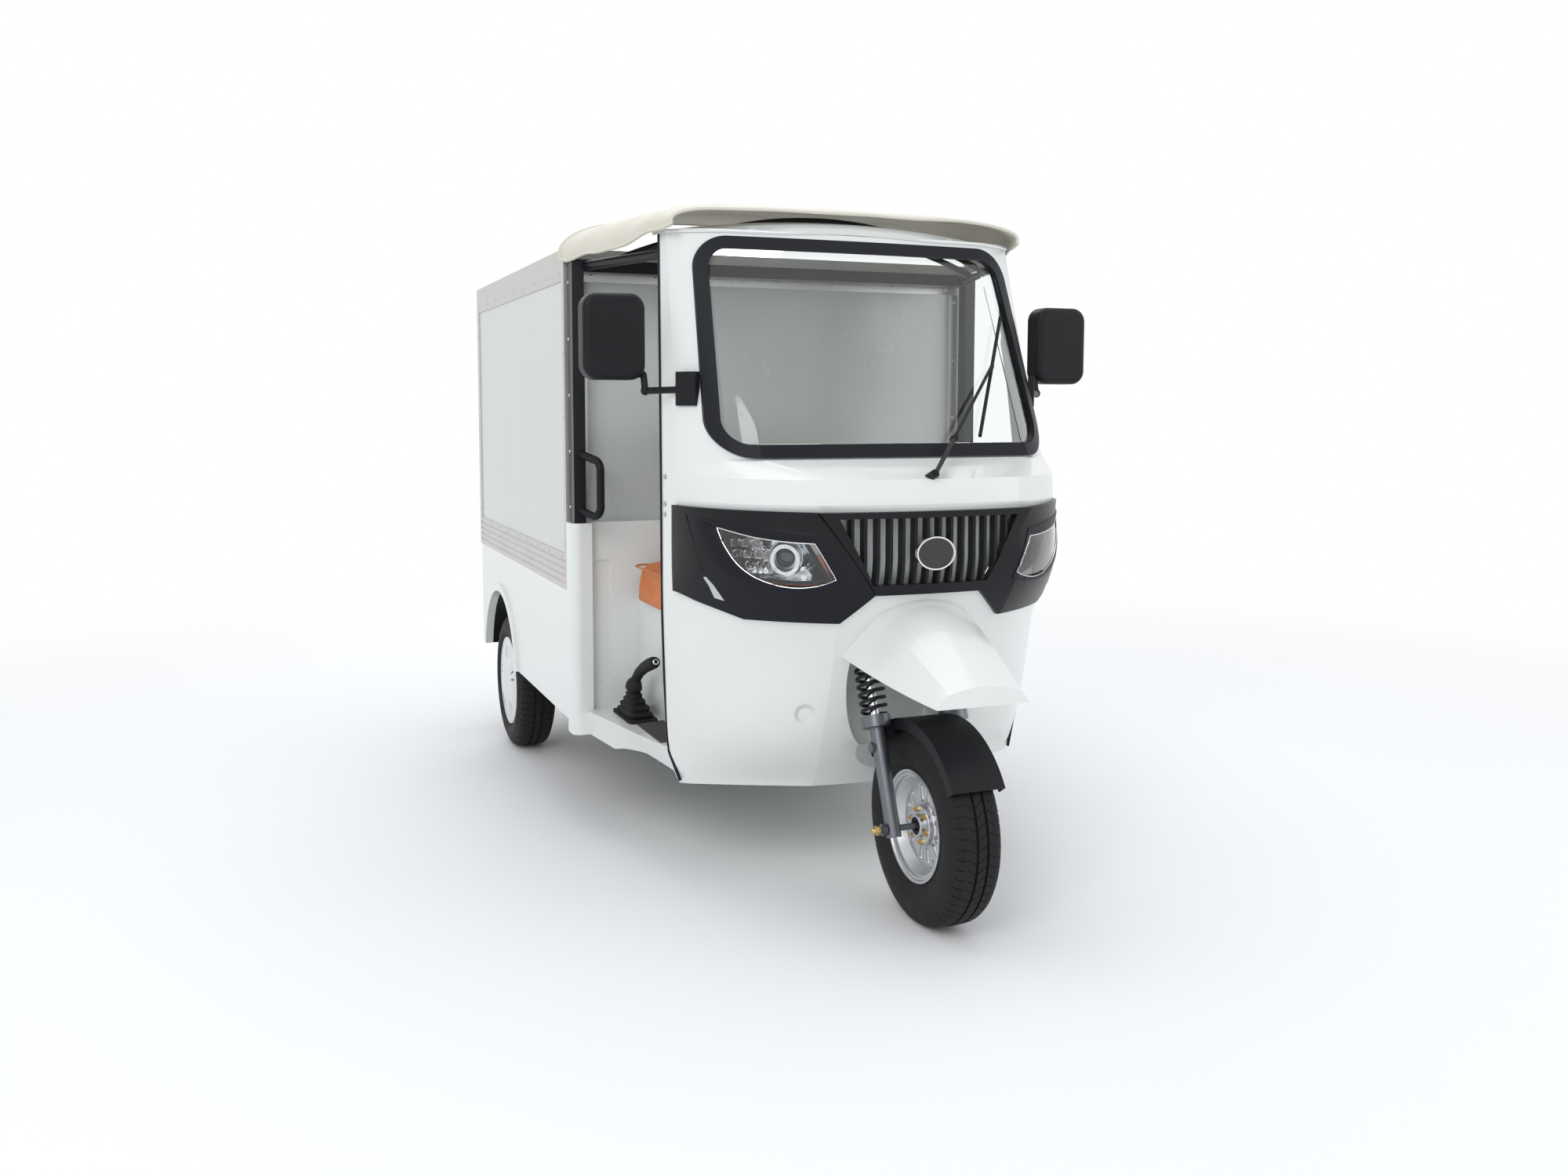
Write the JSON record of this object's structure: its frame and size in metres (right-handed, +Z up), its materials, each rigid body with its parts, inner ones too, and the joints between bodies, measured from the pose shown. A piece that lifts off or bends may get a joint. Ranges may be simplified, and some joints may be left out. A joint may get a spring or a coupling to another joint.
{
  "type": "enclosed electric tricycle",
  "caption": "Enclosed electric cargo tricycle with a glazed cab front, open cab sides under a canopy, and a box-shaped load space with rear doors.",
  "frame": {"origin": "on the ground and the centre line, midway between the front tyre and the rear bumper", "axes": "+X to the vehicle's left, +Y rearward, +Z up"},
  "size_m": [1.536, 2.9369, 1.8729],
  "materials": {
    "white_paint": "gloss",
    "panel_white": "satin",
    "black_gloss": "gloss",
    "black_plastic": "matte",
    "black_metal": "satin",
    "grey_metal": "satin",
    "silver_paint": "satin",
    "aluminium": "satin",
    "steel": "satin",
    "chrome": "polished",
    "black_rubber": "matte",
    "tyre": "matte",
    "clear_glass": "gloss",
    "red_lens": "gloss",
    "black_leather": "satin",
    "canopy_cloth": "matte"
  },
  "bodies": {
    "body": {"lower_front_body": "white_paint", "upper_front_body": "white_paint", "front_beak": "white_paint", "cab_tub": "white_paint", "body_skirts": "white_paint", "rear_valance": "white_paint", "lamp_bands": "black_gloss", "grille": "black_gloss", "grille_badge": "chrome", "headlamps": "chrome", "headlamp_lenses": "clear_glass", "windscreen_glass": "clear_glass", "windscreen_seal": "black_rubber", "wiper": "black_plastic", "mirrors": "black_gloss", "dashboard": "black_plastic", "seat_base": "black_plastic", "seat_cushion": "black_leather", "floor_mat": "black_rubber", "lever_boot": "black_rubber", "hand_lever": "black_metal", "brake_pedal": "black_metal", "hoop_frame": "black_metal", "grab_handles": "black_plastic", "canopy": "canopy_cloth", "cargo_frame": "aluminium", "cargo_walls": "panel_white", "cargo_floor": "panel_white", "cargo_roof": "panel_white", "cargo_front_wall": "panel_white", "door_hinges": "steel", "wheel_housings": "black_plastic", "tail_lamps": "red_lens", "rear_bumper": "black_metal", "chassis_frame": "black_metal", "leaf_springs": "grey_metal", "rear_axle": "grey_metal", "drive_motor": "grey_metal", "battery_box": "black_plastic"},
    "steering": {"fork": "black_metal", "fork_springs": "steel", "inner_mudguard": "black_plastic", "handlebar": "black_metal", "handlebar_grips": "black_rubber"},
    "front_wheel": {"front_tyre": "tyre", "front_rim": "aluminium", "front_hub": "steel"},
    "rear_wheel_left": {"rear_tyre_left": "tyre", "rear_rim_left": "silver_paint"},
    "rear_wheel_right": {"rear_tyre_right": "tyre", "rear_rim_right": "silver_paint"},
    "rear_door_left": {"rear_door_left": "panel_white"},
    "rear_door_right": {"rear_door_right": "panel_white"}
  },
  "joints": [
    {"name": "steer", "type": "hinge", "parent": "body", "child": "steering", "pos_m": [0, -1.2165, 0.252], "axis": [0, 0.3746, 0.9272], "range_deg": [-35, 35]},
    {"name": "front_wheel_spin", "type": "hinge", "parent": "steering", "child": "front_wheel", "pos_m": [0, -1.2165, 0.252], "axis": [1, 0, 0], "continuous": true},
    {"name": "rear_wheel_left_spin", "type": "hinge", "parent": "body", "child": "rear_wheel_left", "pos_m": [0.5985, 0.9835, 0.254], "axis": [1, 0, 0], "continuous": true},
    {"name": "rear_wheel_right_spin", "type": "hinge", "parent": "body", "child": "rear_wheel_right", "pos_m": [-0.5985, 0.9835, 0.254], "axis": [1, 0, 0], "continuous": true},
    {"name": "rear_door_left_swing", "type": "hinge", "parent": "body", "child": "rear_door_left", "pos_m": [0.656, 1.4355, 1.26], "axis": [0, 0, -1], "range_deg": [0, 180]},
    {"name": "rear_door_right_swing", "type": "hinge", "parent": "body", "child": "rear_door_right", "pos_m": [-0.656, 1.4355, 1.26], "axis": [0, 0, 1], "range_deg": [0, 180]}
  ]
}
